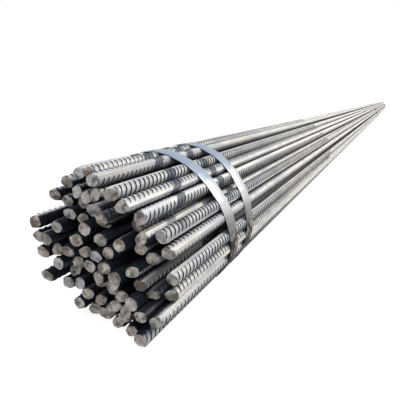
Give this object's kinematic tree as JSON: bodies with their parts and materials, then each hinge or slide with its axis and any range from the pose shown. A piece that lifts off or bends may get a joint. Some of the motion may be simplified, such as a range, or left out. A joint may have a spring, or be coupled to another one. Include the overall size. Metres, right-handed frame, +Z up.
{
  "type": "rebar bundle",
  "caption": "Long round bundle of ribbed steel reinforcing bars with sheared ends, held by flat steel straps.",
  "frame": {"origin": "under the middle of the bundle's length and width, on the floor that its straps rest on", "axes": "+Z up, +Y along the bars from the near ends to the far ends, +X to the right seen from the near ends"},
  "size_m": [0.207, 12.046, 0.2092],
  "materials": {
    "bar_steel": "hot-rolled steel with bright worn ribs, grey mill scale and brown sheared ends",
    "strap_steel": "smooth pale zinc-grey strapping"
  },
  "bodies": {
    "root": {"bars_row_01": "bar_steel", "bars_row_02": "bar_steel", "bars_row_03": "bar_steel", "bars_row_04": "bar_steel", "bars_row_05": "bar_steel", "bars_row_06": "bar_steel", "bars_row_07": "bar_steel", "bars_row_08": "bar_steel", "bars_row_09": "bar_steel", "bars_row_10": "bar_steel", "bars_row_11": "bar_steel", "strap_far_first": "strap_steel", "strap_far_second": "strap_steel", "strap_middle": "strap_steel", "strap_near_first": "strap_steel", "strap_near_second": "strap_steel"}
  },
  "joints": []
}
